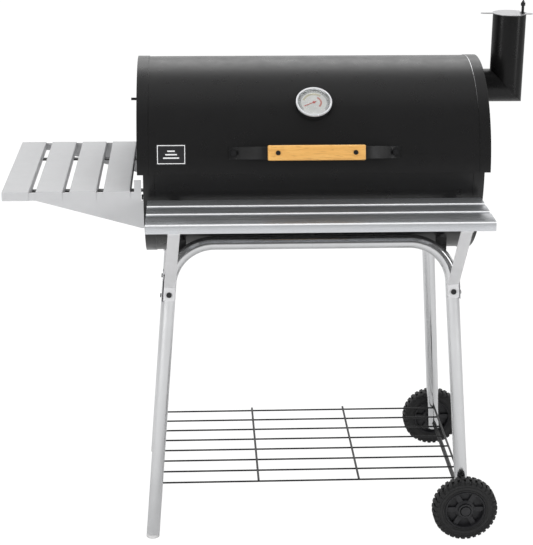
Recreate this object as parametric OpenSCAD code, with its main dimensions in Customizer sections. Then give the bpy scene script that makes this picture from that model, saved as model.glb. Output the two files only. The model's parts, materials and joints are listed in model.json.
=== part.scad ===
// Barrel smoker on a tube trolley: hinged lid with an end chimney, side table,
// front shelf, wire bottom shelf and two wheels.
// Drawn with x = 0 at mid barrel, y = 0 on the barrel axis (front is -Y) and
// z = 0 on the ground; place() then puts the origin under the middle of it all.

/* [Barrel] */
// Height of the barrel axis above the ground
barrel_z = 859; // [840:1:900]
// Outer radius of the lid sheet
lid_r = 220.5; // [200:0.5:240]
// Length of the lid over its end caps
lid_len = 762; // [700:1:850]
// Height of the split between lid and body above the barrel axis
split_rise = 12; // [0:1:20]
// Thickness of the barrel sheet
sheet_t = 1.2; // [1:0.1:2]
// Radial gap between the lid sheet and the body sheet
lid_gap = 2; // [1.5:0.1:4]
// How far the body stops short of the lid at each end
body_inset = 12.5; // [8:0.5:20]
// Width of the rim band of each end cap
cap_band = 24; // [15:1:35]
// Gap under the closed lid
seat_gap = 0.3; // [0.2:0.1:0.6]
// Width of the hem that the lid rests on
hem_w = 11; // [8:1:16]

/* [Lid hinges] */
// Distance of each hinge from mid barrel
hinge_x = 230; // [120:1:300]
// Length of one hinge
hinge_len = 54; // [42:1:80]
// Radius of a hinge knuckle
knuckle_r = 5; // [4.5:0.1:6]
// Radius of a hinge pin
hinge_pin_r = 2.5; // [2:0.1:3]
// Thickness of a hinge leaf
leaf_t = 2; // [1.5:0.1:2.5]

/* [Chimney] */
// Outer radius of the chimney pipe
chimney_r = 36.9; // [30:0.1:45]
// Distance of the upright pipe's axis from the lid's right end
chimney_out = 67.6; // [60:0.1:95]
// Height of the stub pipe above the barrel axis
stub_rise = 155.5; // [140:0.5:165]
// Height of the pipe's mouth above the ground
chimney_top = 1176.5; // [1130:0.5:1260]
// Radius of the damper plate
damper_r = 38.5; // [38:0.5:50]
// Distance from the pipe's axis to the damper's pivot, inside the mouth
damper_pivot = 28.5; // [26:0.5:29]
// Direction of the damper's pivot, seen from above
damper_turn = -12; // [-60:1:30]
// Reach of the damper's rear ear from the pipe's axis
ear_reach = 51; // [47:1:60]

/* [Handle] */
// Distance of each bracket bolt from mid barrel
handle_bolt_x = 174; // [140:1:220]
// Angle of the handle above the barrel axis
handle_angle = 15; // [10:1:25]
// Clear reach of the handle off the lid
handle_reach = 42; // [35:1:60]
// Height of the handle's flat bar
handle_bar_h = 27; // [20:1:32]
// Thickness of the handle's flat bar
handle_bar_t = 3; // [2:0.5:4]
// Length of the wooden grip
grip_len = 207; // [150:1:230]
// Height of the wooden grip
grip_h = 32.5; // [28:0.5:40]
// Depth of the wooden grip
grip_t = 17; // [12:1:25]
// Distance of each grip bolt from mid barrel
grip_bolt_x = 82; // [60:1:88]

/* [Thermometer] */
// Outer radius of the bezel
bezel_r = 39; // [30:1:45]
// Angle of the thermometer's seat above the barrel axis
dial_angle = 43; // [35:1:60]
// Extra tilt of the dial, so that it reads from above
dial_tilt = 9; // [0:1:12]
// Length of the probe inside the lid
probe_len = 60; // [30:1:90]

/* [Trolley frame] */
// Outer radius of the frame tubes
tube_r = 15; // [14:0.5:17]
// Wall of the frame tubes
tube_wall = 1.5; // [1:0.1:2]
// Height of the cross tubes
frame_z = 700.7; // [695:0.1:705]
// Distance of each cross tube from the barrel axis
frame_y = 172.4; // [170:0.1:180]
// Radius of the tube bends
bend_r = 100; // [80:1:110]
// Outward lean of the frames, front and rear
leg_lean = 4; // [2:0.5:6]
// Sideways lean of the legs
leg_splay = 4.53; // [3:0.01:6]
// Half spacing of the legs at their joints
leg_joint_x = 317.4; // [290:0.1:330]
// Drop from the cross tubes to the leg joint bolts
leg_joint_drop = 113; // [108:1:118]
// Drop from the cross tubes to the lower tubes
lower_leg_drop = 126; // [125:1:134]

/* [Wheels] */
// Radius of the wheels
wheel_r = 75; // [65:1:90]
// Width of the tyres
tyre_w = 37; // [30:1:42]
// Radius of the tyre's seat on the rim
rim_r = 47; // [42:1:52]
// Radius of the axle
axle_r = 5; // [4:0.5:6]
// Radial gap between wheel and axle
axle_fit = 0.06; // [0.02:0.01:0.09]
// Gap between each wheel and its leg
wheel_gap = 3; // [2.5:0.1:6]
// Radius of the wheel hub
hub_r = 17; // [14:1:20]
// Number of wheel spokes
spokes = 6; // [5:1:8]

/* [Wire shelf] */
// Height of the bottom shelf
wire_z = 127; // [115:1:200]
// Radius of the long wires
wire_r = 2; // [1.5:0.1:2.5]
// Radius of the cross wires
cross_wire_r = 2.5; // [2:0.1:3]
// Number of long wires
wires = 8; // [6:1:12]
// Distance of the two inner cross wires from mid shelf
cross_wire_x = 117; // [80:1:150]

/* [Front shelf] */
// Height of the shelf's top
shelf_z = 820; // [812:1:830]
// Half length of the shelf
shelf_half = 359.6; // [330:0.1:380]
// Distance of the shelf's front face from the barrel axis
shelf_front = 412.4; // [400:0.1:430]
// Width of the front slat
front_slat_w = 62; // [50:1:66]
// Width of the other two slats
back_slat_w = 44; // [40:1:46]
// Gap between slats
shelf_gap = 13; // [10:1:15]
// Depth of the slats' folded sides
shelf_fold = 20; // [16:1:24]
// Distance of each shelf rail from mid shelf
shelf_rail_x = 301.5; // [280:0.5:310]
// Width of the shelf brackets and rails
bracket_w = 25; // [20:1:28]
// Thickness of the shelf brackets and rails
bracket_t = 3; // [2:0.5:4]

/* [Side table] */
// Height of the table's top
table_z = 834; // [826:1:840]
// Distance of the table's outer edge from the body's left end
table_reach = 303; // [290:0.5:340]
// Width of one table slat
table_slat_w = 58; // [50:1:62]
// Gap between table slats
table_gap = 14.3; // [10:0.1:16]
// Half depth of the table, front to rear
table_half = 214; // [200:1:230]
// Depth of the slats' folded sides and ends
table_fold = 20; // [16:1:24]
// Distance of each table rail from the barrel axis
table_rail_y = 133; // [110:1:140]
// Height of the triangular gussets at the barrel
gusset_h = 84; // [60:1:95]

/* [Grates] */
// Depth of the cooking grates below the split
grate_drop = 25; // [20:1:35]
// Half depth of the cooking grates, front to rear
grate_half = 207; // [195:1:208]
// Depth of the charcoal grate below the barrel axis
coal_drop = 128; // [120:1:132]
// Half depth of the charcoal grate, front to rear
coal_half = 161; // [145:1:162]
// Thickness of the grate bars
bar_t = 4; // [3:0.5:5]

/* [Hidden] */

$fn = 48;
big_fn = 96;
far = 2000;
sliver = 0.1;

body_r = lid_r - sheet_t - lid_gap;
body_in = body_r - sheet_t;
lid_in = lid_r - sheet_t;
lid_half = lid_len / 2;
body_half = lid_half - body_inset;
split_z = barrel_z + split_rise;
stub_z = barrel_z + stub_rise;
chimney_x = lid_half + chimney_out;
table_left = body_half + table_reach;
pivot_fit = 0.05;
hole_fit = 0.3;
m6_r = 3;
m6_head_r = 6;
m6_head_h = 3.5;
m6_nut_h = 5;

// ---- helpers -------------------------------------------------------------

function unit(v) = v / norm(v);
function left_of(v) = [-v[1], v[0]];
function heading(p, i) = unit(p[min(i + 1, len(p) - 1)] - p[min(i, len(p) - 2)]);
function mitre(p, i) = unit(left_of(heading(p, max(i - 1, 0))) + left_of(heading(p, i)));
function beside(p, i, d) = p[i] + mitre(p, i) * d / (mitre(p, i) * left_of(heading(p, i)));
function ribbon(p, t) = concat(
    [for (i = [0 : len(p) - 1]) beside(p, i, t / 2)],
    [for (i = [len(p) - 1 : -1 : 0]) beside(p, i, -t / 2)]);

// A strip folded along a path of [y, z] points, its width along X from x = 0 both ways
module folded_strip(path, t, w) {
    rotate([90, 0, 90]) translate([0, 0, -w / 2]) linear_extrude(w) polygon(ribbon(path, t));
}

// Children turned so that +Z points out of the barrel at a height angle, 0 at the front
module radial(x, angle, r = 0) {
    translate([x, 0, barrel_z]) rotate([90 - angle, 0, 0]) translate([0, 0, r]) children();
}

// Part of a tube around the barrel axis, from angle a0 to a1, centred on x
module barrel_band(x, w, r, t, a0, a1) {
    translate([x + w / 2, 0, barrel_z]) rotate([0, -90, 0]) rotate([0, 0, a0 - 90])
        rotate_extrude(angle = a1 - a0, $fn = big_fn) translate([r, 0]) square([t, w]);
}

module barrel_rod(r, x0, x1) {
    translate([x0, 0, barrel_z]) rotate([0, 90, 0]) cylinder(r = r, h = x1 - x0, $fn = big_fn);
}

module above(z) translate([-far / 2, -far / 2, z]) cube(far);
module below(z) translate([-far / 2, -far / 2, z - far]) cube(far);

module bolt(r, len, head_r, head_h) {
    translate([0, 0, -len]) cylinder(r = r, h = len + sliver);
    cylinder(r = head_r, h = head_h);
}

module hex_nut(r, h, bore) {
    difference() {
        cylinder(r = r, h = h, $fn = 6);
        translate([0, 0, -1]) cylinder(r = bore, h = h + 2);
    }
}

// ---- barrel --------------------------------------------------------------

table_rail_z = table_z - table_fold - bracket_t / 2;
table_bolt_z = table_rail_z - 16;
gusset_bolt_y = 168;
gusset_bolt_z = [table_z - 48, table_z - 68];
shelf_rail_z = shelf_z - shelf_fold - bracket_t / 2;
shelf_tab_angle = -asin((barrel_z - shelf_rail_z + 15) / body_r);
bracket_x = 291;
bracket_tab = 13;
bracket_in = frame_y - tube_r - bracket_t / 2 - hole_fit;
bracket_mid_r = body_r + bracket_t / 2;
bracket_angle = atan(bracket_tab / bracket_mid_r)
    - acos(bracket_in / norm([bracket_mid_r, bracket_tab]));
leaf_a0 = 1.5;
leaf_a1 = 8.5;

module body_bolt_holes(r) {
    for (s = [-1, 1]) {
        radial(s * shelf_rail_x, shelf_tab_angle, body_r - 6) cylinder(r = r, h = 12);
        for (a = [bracket_angle, 180 - bracket_angle])
            radial(s * bracket_x, a, body_r - 6) cylinder(r = r, h = 12);
    }
}

module body_shell() {
    color("#232325") difference() {
        intersection() {
            barrel_rod(body_r, -body_half + sheet_t, body_half - sheet_t);
            below(split_z - seat_gap);
        }
        barrel_rod(body_in, -body_half, body_half);
        body_bolt_holes(m6_r + hole_fit);
    }
}

// Dished half disc: a flat end and a rim band over the sheet
module end_cap(r, half, keep_above, z) {
    intersection() {
        difference() {
            barrel_rod(r + sheet_t, half - cap_band, half);
            barrel_rod(r, half - cap_band - 1, half - sheet_t);
        }
        if (keep_above) above(z); else below(z);
    }
}

module body_end_cap() end_cap(body_r, body_half, false, split_z - seat_gap);

module body_end_cap_left() {
    color("#232325") difference() {
        mirror([1, 0, 0]) body_end_cap();
        for (s = [-1, 1]) {
            translate([-body_half - 5, s * table_rail_y, table_bolt_z])
                rotate([0, 90, 0]) cylinder(r = m6_r + hole_fit, h = 10);
            for (z = gusset_bolt_z) translate([-body_half - 5, s * gusset_bolt_y, z])
                rotate([0, 90, 0]) cylinder(r = m6_r + hole_fit, h = 10);
        }
    }
}

module body_end_cap_right() {
    color("#232325") body_end_cap();
}

ledge_w = 13;
ledge_t = 2;
grate_z = split_z - grate_drop;
coal_z = barrel_z - coal_drop;
ledge_clear = 0.3;

// Strips welded inside the body that the grates lie on
module grate_ledges() {
    color("#2a2a2c") intersection() {
        barrel_rod(body_in, -body_half + sheet_t, body_half - sheet_t);
        for (s = [-1, 1]) {
            translate([-body_half + 10, s > 0 ? grate_half - 6 : -grate_half + 6 - ledge_w * 2,
                       grate_z - ledge_t - ledge_clear])
                cube([2 * body_half - 20, ledge_w * 2, ledge_t]);
            translate([-body_half + 10, s > 0 ? coal_half - 8 : -coal_half + 8 - ledge_w * 3,
                       coal_z - ledge_t])
                cube([2 * body_half - 20, ledge_w * 3, ledge_t]);
        }
    }
}

// Flat grate of bars along Y inside a frame; x runs from 0
module grate(length, half, bars, t) {
    gap = (length - t) / (bars + 1);
    linear_extrude(t) {
        difference() {
            translate([0, -half]) square([length, 2 * half]);
            translate([t, -half + t]) square([length - 2 * t, 2 * half - 2 * t]);
        }
        for (i = [1 : bars]) translate([i * gap, -half + t / 2]) square([t, 2 * half - t]);
        for (y = [-half / 3, half / 3]) translate([t / 2, y - t / 2]) square([length - t, t]);
    }
}

module charcoal_grate() {
    color("#3a3a3c") translate([-body_half + 12, 0, coal_z])
        grate(2 * body_half - 24, coal_half, 27, bar_t);
}

grate_len = body_half - 12;
grate_bars = 21;
module cooking_grate_left() {
    color("#55565a") translate([-body_half + 9, 0, grate_z])
        grate(grate_len, grate_half, grate_bars, bar_t);
}
module cooking_grate_right() {
    color("#55565a") translate([3, 0, grate_z]) grate(grate_len, grate_half, grate_bars, bar_t);
}

// ---- hinges --------------------------------------------------------------

hinge_y = lid_r + knuckle_r + 0.5;
hinge_z = split_z;
knuckle_len = hinge_len / 3;
knuckle_gap = 0.4;
web_t = 3;

module knuckle(x, w) {
    translate([x - w / 2, hinge_y, hinge_z]) rotate([0, 90, 0]) cylinder(r = knuckle_r, h = w);
}

module pin_bores(r) {
    for (s = [-1, 1]) translate([s * hinge_x - hinge_len, hinge_y, hinge_z])
        rotate([0, 90, 0]) cylinder(r = r, h = 2 * hinge_len);
}

// Rear height angles, measured round the back of the barrel
rear_split_a = asin(split_rise / body_r);
module rear_band(x, w, r, t, rise0, rise1) {
    barrel_band(x, w, r, t, 180 - rear_split_a - rise1, 180 - rear_split_a - rise0);
}

module hinge_leaves_body() {
    color("#2a2a2c") difference() {
        for (s = [-1, 1]) {
            rear_band(s * hinge_x, hinge_len, body_r, leaf_t, -9, -2);
            for (k = [-1, 1]) {
                knuckle(s * hinge_x + k * knuckle_len, knuckle_len - knuckle_gap);
                translate([s * hinge_x + k * knuckle_len - (knuckle_len - knuckle_gap) / 2,
                           body_r + 0.5, hinge_z - knuckle_r - web_t - 1])
                    cube([knuckle_len - knuckle_gap, hinge_y - body_r, web_t + 3]);
            }
        }
        pin_bores(hinge_pin_r);
    }
}

module hinge_leaves_lid() {
    color("#2a2a2c") difference() {
        for (s = [-1, 1]) {
            rear_band(s * hinge_x, hinge_len, lid_r, leaf_t, leaf_a0, leaf_a1);
            knuckle(s * hinge_x, knuckle_len - knuckle_gap);
            translate([s * hinge_x - (knuckle_len - knuckle_gap) / 2, lid_r + 0.2, hinge_z])
                cube([knuckle_len - knuckle_gap, hinge_y - lid_r, web_t + 5]);
        }
        pin_bores(hinge_pin_r + pivot_fit);
    }
}

module hinge_pins() {
    color("silver") for (s = [-1, 1]) {
        translate([s * hinge_x - hinge_len / 2 - 1, hinge_y, hinge_z])
            rotate([0, 90, 0]) cylinder(r = hinge_pin_r, h = hinge_len + 2);
        for (k = [-1, 1]) translate([s * hinge_x + k * (hinge_len / 2 + 1.5) - 1, hinge_y, hinge_z])
            rotate([0, 90, 0]) cylinder(r = hinge_pin_r + 1.5, h = 2);
    }
}

// ---- lid -----------------------------------------------------------------

grip_out = lid_r + handle_reach;
dial_z_out = 7;

module lid_shell() {
    color("#232325") difference() {
        union() {
            intersection() {
                difference() {
                    barrel_rod(lid_r, -lid_half + sheet_t, lid_half - sheet_t);
                    barrel_rod(lid_in, -lid_half, lid_half);
                }
                above(split_z);
            }
            intersection() {
                barrel_rod(lid_in + sliver, -body_half + 2, body_half - 2);
                for (s = [-1, 1]) translate([-lid_half, s > 0 ? lid_in - hem_w : -lid_in, split_z])
                    cube([lid_len, hem_w, sheet_t]);
            }
        }
        for (s = [-1, 1]) radial(s * handle_bolt_x, handle_angle, lid_r - 6)
            cylinder(r = m6_r + hole_fit, h = 12);
        radial(0, dial_angle, lid_r - 6) cylinder(r = stem_r + hole_fit, h = 12);
    }
}

vent_z = barrel_z + 98;
vent_r = 44;
vent_hole_r = 10;
vent_pitch_r = 26;
vent_pivot_r = 4;
vent_holes = 4;
vent_knob_r = 3;
vent_knob_len = 16;

module lid_end_cap_left() {
    color("#232325") difference() {
        mirror([1, 0, 0]) end_cap(lid_r, lid_half, true, split_z);
        translate([-lid_half, 0, vent_z]) rotate([0, -90, 0]) {
            translate([0, 0, -5]) cylinder(r = vent_pivot_r, h = 10);
            vent_openings(-5, 10);
        }
    }
}

module vent_openings(z, h) {
    for (i = [0 : vent_holes - 1]) rotate([0, 0, i * 360 / vent_holes + 45])
        translate([vent_pitch_r, 0, z]) cylinder(r = vent_hole_r, h = h);
}

module vent_shutter() {
    color("#232325") translate([-lid_half - seat_gap, 0, vent_z]) rotate([0, -90, 0]) {
        difference() {
            cylinder(r = vent_r, h = sheet_t);
            translate([0, 0, -1]) cylinder(r = vent_pivot_r + pivot_fit, h = sheet_t + 2);
            vent_openings(-1, sheet_t + 2);
        }
        translate([vent_r - 14, 0, sheet_t - sliver]) cylinder(r = vent_knob_r, h = vent_knob_len);
    }
}

module vent_pivot() {
    color("silver") translate([-lid_half, 0, vent_z]) rotate([0, -90, 0]) {
        translate([0, 0, -sheet_t - 2]) cylinder(r = vent_pivot_r + 3, h = 2);
        translate([0, 0, -sheet_t - 1]) cylinder(r = vent_pivot_r, h = 2 * sheet_t + 1 + 2 * seat_gap);
        translate([0, 0, sheet_t + 2 * seat_gap]) cylinder(r = vent_pivot_r + 3, h = 1.5);
    }
}

module lid_end_cap_right() {
    color("#232325") difference() {
        end_cap(lid_r, lid_half, true, split_z);
        translate([lid_half - 5, 0, stub_z]) rotate([0, 90, 0])
            cylinder(r = chimney_r + sliver, h = 10, $fn = big_fn);
    }
}

module emblem_plate() {
    color("#303032") barrel_band(-307.5, 64, lid_r, 0.8, 8.7, 20.3);
}

// ---- chimney -------------------------------------------------------------

flange_w = 10;
flange_t = 2;

// Everything on one side of the mitre plane through the elbow
module elbow_half(outer) {
    translate([chimney_x, 0, stub_z]) rotate([0, -45, 0])
        translate([outer ? 0 : -far, -far / 2, -far / 2]) cube(far);
}

module chimney_stub() {
    start = lid_half - sheet_t - flange_t;
    color("#202022") difference() {
        translate([start, 0, stub_z]) rotate([0, 90, 0]) difference() {
            cylinder(r = chimney_r, h = chimney_x - start + chimney_r, $fn = big_fn);
            translate([0, 0, -1]) cylinder(r = chimney_r - sheet_t, h = far, $fn = big_fn);
        }
        elbow_half(true);
    }
}

module chimney_pipe() {
    color("#202022") difference() {
        translate([chimney_x, 0, stub_z - chimney_r]) difference() {
            cylinder(r = chimney_r, h = chimney_top - stub_z + chimney_r, $fn = big_fn);
            translate([0, 0, -1]) cylinder(r = chimney_r - sheet_t, h = far, $fn = big_fn);
        }
        elbow_half(false);
    }
}

module chimney_flange() {
    color("#202022") translate([lid_half - sheet_t - flange_t, 0, stub_z]) rotate([0, 90, 0])
        difference() {
            cylinder(r = chimney_r + flange_w, h = flange_t);
            translate([0, 0, -1]) cylinder(r = chimney_r, h = flange_t + 2, $fn = big_fn);
        }
}

damper_t = 1.5;
lug_r = 8;
lug_t = 3;
lug_neck = lug_r - 1;
damper_z = chimney_top + seat_gap;
finger_reach = 65;
finger_w = 12;
nut_z = 22;

module at_damper_pivot(z) {
    translate([chimney_x + damper_pivot * cos(damper_turn), damper_pivot * sin(damper_turn), z])
        children();
}

// Tab welded inside the pipe's mouth, under the damper
module damper_lug() {
    color("#202022") translate([chimney_x, 0, chimney_top - lug_t]) rotate([0, 0, damper_turn])
        linear_extrude(lug_t) difference() {
            intersection() {
                circle(r = chimney_r - sheet_t, $fn = big_fn);
                union() {
                    translate([damper_pivot, -lug_neck]) square([chimney_r, 2 * lug_neck]);
                    translate([damper_pivot, 0]) circle(r = lug_r);
                }
            }
            translate([damper_pivot, 0]) circle(r = m6_r + pivot_fit);
        }
}

module damper_plate() {
    color("#8a8b8d") difference() {
        translate([chimney_x, 0, damper_z]) linear_extrude(damper_t) {
            circle(r = damper_r, $fn = big_fn);
            translate([-finger_reach + finger_w / 2, -finger_w / 2])
                square([finger_reach - finger_w / 2, finger_w]);
            translate([-finger_reach + finger_w / 2, 0]) circle(r = finger_w / 2);
            rotate([0, 0, damper_turn]) {
                translate([0, -lug_neck]) square([ear_reach - lug_r, 2 * lug_neck]);
                translate([ear_reach - lug_r, 0]) circle(r = lug_r);
            }
        }
        at_damper_pivot(damper_z - 1) cylinder(r = m6_r + pivot_fit, h = damper_t + 2);
    }
}

module damper_pivot_bolt() {
    color("#1b1b1c") at_damper_pivot(chimney_top - lug_t) {
        translate([0, 0, -m6_head_h]) cylinder(r = m6_head_r, h = m6_head_h, $fn = 6);
        cylinder(r = m6_r, h = lug_t + damper_t + nut_z + 5);
        translate([0, 0, lug_t + damper_t + 2 * seat_gap]) cylinder(r = m6_head_r, h = 1.2);
    }
}

wing_lean = 28;
wing_in = 2;
wing_out = 7;
wing_top = 16;
wing_turn = 75;
module damper_wing_nut() {
    color("#1b1b1c") at_damper_pivot(damper_z + nut_z - 4) rotate([0, 0, wing_turn]) difference() {
        union() {
            cylinder(r = 5, h = 7);
            for (s = [0, 1]) mirror([s, 0, 0]) rotate([0, wing_lean, 0])
                translate([wing_in, -1.25, 2]) cube([wing_out - wing_in, 2.5, wing_top - 2]);
        }
        translate([0, 0, -1]) cylinder(r = m6_r + sliver, h = 20);
    }
}

// ---- handle --------------------------------------------------------------

tab_len = 20;
standoff_lean = 45;
bar_overlap = 48;
handle_foot_x = handle_bolt_x - tab_len / 2;
handle_knee_x = handle_foot_x - standoff_lean;

// Flat bar folded along points of [x, height above the lid]
module handle_bracket() {
    t = handle_bar_t;
    path = [[handle_bolt_x + tab_len / 2, t / 2], [handle_foot_x, t / 2],
            [handle_knee_x, handle_reach - t / 2],
            [grip_len / 2 - bar_overlap, handle_reach - t / 2]];
    radial(0, handle_angle, lid_r) difference() {
        rotate([90, 0, 0]) translate([0, 0, -handle_bar_h / 2])
            linear_extrude(handle_bar_h) polygon(ribbon(path, t));
        translate([handle_bolt_x, 0, -1]) cylinder(r = m6_r + hole_fit, h = t + 2);
        translate([grip_bolt_x, 0, handle_reach - t - 1]) cylinder(r = m6_r + hole_fit, h = t + 2);
    }
}

module handle_bracket_right() {
    color("#1d1d1f") handle_bracket();
}
module handle_bracket_left() {
    color("#1d1d1f") mirror([1, 0, 0]) handle_bracket();
}

module handle_grip() {
    color("#e0a85a") radial(0, handle_angle, grip_out) difference() {
        translate([-grip_len / 2, -grip_h / 2, 0]) cube([grip_len, grip_h, grip_t]);
        for (s = [-1, 1]) translate([s * grip_bolt_x, 0, -1])
            cylinder(r = m6_r + hole_fit, h = grip_t + 2);
    }
}

module handle_bolts() {
    color("#111112") for (s = [-1, 1]) {
        radial(s * handle_bolt_x, handle_angle, lid_r + handle_bar_t)
            bolt(m6_r, handle_bar_t + sheet_t + m6_nut_h + 2, m6_head_r, m6_head_h);
        radial(s * handle_bolt_x, handle_angle, lid_in - m6_nut_h)
            hex_nut(m6_head_r, m6_nut_h - 0.2, m6_r - sliver);
        radial(s * grip_bolt_x, handle_angle, grip_out + grip_t)
            bolt(m6_r, grip_t + handle_bar_t + m6_nut_h + 1, m6_head_r - 1, 2);
        radial(s * grip_bolt_x, handle_angle, grip_out - handle_bar_t - m6_nut_h)
            hex_nut(m6_head_r, m6_nut_h, m6_r - sliver);
    }
}

// ---- thermometer ---------------------------------------------------------

stem_r = 4;
bezel_h = 6;
bezel_lip = 4;
dial_t = 1;
needle_gap = 0.6;
needle_t = 0.6;
glass_t = 1.5;
housing_back = 14;
needle_len = 24;
needle_hub_r = 1.5;
stem_nut_r = 9;

// Seat frame of the tilted dial: z = 0 is the back of the bezel
module dial_seat() {
    radial(0, dial_angle, lid_r + dial_z_out) rotate([-dial_tilt, 0, 0]) children();
}

module thermometer_housing() {
    color("#161617") difference() {
        dial_seat() translate([0, 0, -housing_back]) cylinder(r = bezel_r - 2.5, h = housing_back);
        barrel_rod(lid_r, -2 * bezel_r, 2 * bezel_r);
        radial(0, dial_angle, 0) cylinder(r = stem_r, h = far);
    }
}

module thermometer_bezel() {
    color("#d4d6d8") dial_seat() difference() {
        cylinder(r = bezel_r, h = bezel_h);
        translate([0, 0, -1]) cylinder(r = bezel_r - bezel_lip, h = bezel_h + 2);
    }
}

module thermometer_dial() {
    color("#ece9e0") dial_seat() difference() {
        cylinder(r = bezel_r - bezel_lip, h = dial_t);
        translate([0, 0, -1]) cylinder(r = needle_hub_r + pivot_fit, h = dial_t + 2);
    }
}

module thermometer_needle() {
    color("#a03020") dial_seat() {
        translate([0, 0, 0.1]) cylinder(r = needle_hub_r, h = dial_t + needle_gap + needle_t - 0.1);
        translate([0, 0, dial_t + needle_gap]) cylinder(r = 3, h = needle_t);
        rotate([0, 0, 205]) translate([-6, -0.8, dial_t + needle_gap])
            cube([needle_len + 6, 1.6, needle_t]);
    }
}

module thermometer_glass() {
    color([0.85, 0.9, 0.95, 0.35]) dial_seat() translate([0, 0, bezel_h - glass_t - 1])
        cylinder(r = bezel_r - bezel_lip, h = glass_t);
}

module thermometer_stem() {
    color("silver") difference() {
        union() {
            radial(0, dial_angle, lid_in - probe_len) cylinder(r = stem_r, h = probe_len + 4);
            radial(0, dial_angle, lid_in - 6) cylinder(r = stem_nut_r, h = 5, $fn = 6);
        }
        dial_seat() translate([0, 0, -0.5]) cylinder(r = bezel_r, h = 50);
    }
}

// ---- trolley frame -------------------------------------------------------

seam_gap = 1;
sleeve_r = tube_r - tube_wall - sliver;
bend_drop = bend_r * (1 - sin(leg_splay));
bend_x = leg_joint_x - tan(leg_splay) * (leg_joint_drop - bend_drop) - bend_r * cos(leg_splay);
axle_z = wheel_r;
leg_below_axle = 16;
strap_w = 20;
strap_t = 2;
strap_top_drop = 62;
strap_len = 72;
strap_screw_drop = [74, 120];
joint_gap = 0.4;
leg_screw_r = 3;

function leg_drop(z) = (frame_z - z) / cos(leg_lean);
function leg_x_at(drop) = leg_joint_x + tan(leg_splay) * (drop - leg_joint_drop);
function leg_x(z) = leg_x_at(leg_drop(z));
function leg_y(z) = frame_y + tan(leg_lean) * (frame_z - z);

axle_x = leg_x(axle_z);
axle_end = leg_y(axle_z) + tube_r + wheel_gap + tyre_w;

// The plane of the front (end = -1) or rear (end = 1) frame, origin at mid cross tube
module frame_plane(end, side = 1) {
    translate([0, end * frame_y, frame_z]) rotate([end * leg_lean, 0, 0])
        if (side < 0) mirror([1, 0, 0]) children(); else children();
}

// On a leg's axis in the frame plane, +Z up along the leg
module on_leg(drop) {
    translate([leg_x_at(drop), 0, -drop]) rotate([0, -leg_splay, 0]) children();
}

upper_tail = (lower_leg_drop - bend_drop) / cos(leg_splay);

module tube_section(step = 0) {
    difference() {
        circle(r = tube_r - step);
        circle(r = tube_r - tube_wall + step);
    }
}

// Tube of a frame half: straight to the bend, a quarter bend, then down the leg.
// The straight runs reach a little way into the bend, with a hair less wall.
weld_step = 0.03;
weld_len = 1;
module upper_tube() {
    translate([seam_gap / 2, 0, 0]) rotate([0, 90, 0])
        linear_extrude(bend_x - seam_gap / 2 + weld_len) tube_section(weld_step);
    translate([bend_x, 0, -bend_r]) rotate([90, 0, 0]) rotate([0, 0, leg_splay])
        rotate_extrude(angle = 90 - leg_splay, $fn = big_fn) translate([bend_r, 0]) tube_section();
    on_leg(bend_drop) translate([0, 0, -upper_tail])
        linear_extrude(upper_tail + weld_len) tube_section(weld_step);
}

// Screw and bolt holes in the frame tubes, drawn in the frame plane
module frame_holes(end) {
    on_leg(leg_joint_drop) rotate([90, 0, 0]) translate([0, 0, -tube_r - 5])
        cylinder(r = leg_screw_r + hole_fit, h = 2 * tube_r + 10);
    for (d = strap_screw_drop) on_leg(d) rotate([0, 90, 0]) cylinder(r = 2.3, h = tube_r + 8);
}

module frame_tube(end, side) {
    color("#c9cbcd") frame_plane(end, side) difference() {
        upper_tube();
        frame_holes(end);
    }
}

module front_frame_tube_left() frame_tube(-1, -1);
module front_frame_tube_right() frame_tube(-1, 1);
module rear_frame_tube_left() frame_tube(1, -1);
module rear_frame_tube_right() frame_tube(1, 1);

sleeve_len = 60;
sleeve_wall = 1.5;
module sleeve(len) {
    difference() {
        cylinder(r = sleeve_r, h = len);
        translate([0, 0, -1]) cylinder(r = sleeve_r - sleeve_wall, h = len + 2);
    }
}

// Inner sleeves at the cross tube seams and at the leg joints
module frame_sleeves() {
    color("#9a9c9e") for (end = [-1, 1]) {
        frame_plane(end) translate([-sleeve_len / 2, 0, 0]) rotate([0, 90, 0]) sleeve(sleeve_len);
        for (side = [-1, 1]) frame_plane(end, side) difference() {
            on_leg(lower_leg_drop) translate([0, 0, -sleeve_len / 2]) sleeve(sleeve_len - 2);
            frame_holes(end);
        }
    }
}

// Lower tube of a leg, from the joint down to the drop given
module lower_leg(end, side, bottom_drop) {
    length = (bottom_drop - lower_leg_drop - joint_gap) / cos(leg_splay);
    color("#c9cbcd") difference() {
        frame_plane(end, side) on_leg(bottom_drop) difference() {
            cylinder(r = tube_r, h = length);
            translate([0, 0, -1]) cylinder(r = tube_r - tube_wall, h = length + 2);
        }
        if (side > 0) translate([axle_x, 0, axle_z]) rotate([90, 0, 0])
            cylinder(r = axle_r + hole_fit, h = far, center = true);
        translate([side * leg_x(wire_z), end * (leg_y(wire_z) - tube_r), wire_z])
            rotate([90, 0, 0]) cylinder(r = cross_wire_r + hole_fit, h = tube_r, center = true);
        below(plug_h);
    }
}
plug_h = 8;

module front_leg_left() lower_leg(-1, -1, leg_drop(0) + 4);
module rear_leg_left() lower_leg(1, -1, leg_drop(0) + 4);
module front_leg_right() lower_leg(-1, 1, leg_drop(axle_z - leg_below_axle));
module rear_leg_right() lower_leg(1, 1, leg_drop(axle_z - leg_below_axle));

// Plastic plugs under the left legs, cut flat on the ground
module foot_plugs() {
    color("#d8d9da") difference() {
        for (end = [-1, 1]) frame_plane(end, -1) on_leg(leg_drop(0) + 4)
            cylinder(r = tube_r, h = 40);
        difference() {
            above(plug_h);
            for (end = [-1, 1]) frame_plane(end, -1) on_leg(leg_drop(0))
                cylinder(r = tube_r - tube_wall, h = 30);
        }
        below(0);
    }
}

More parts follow.
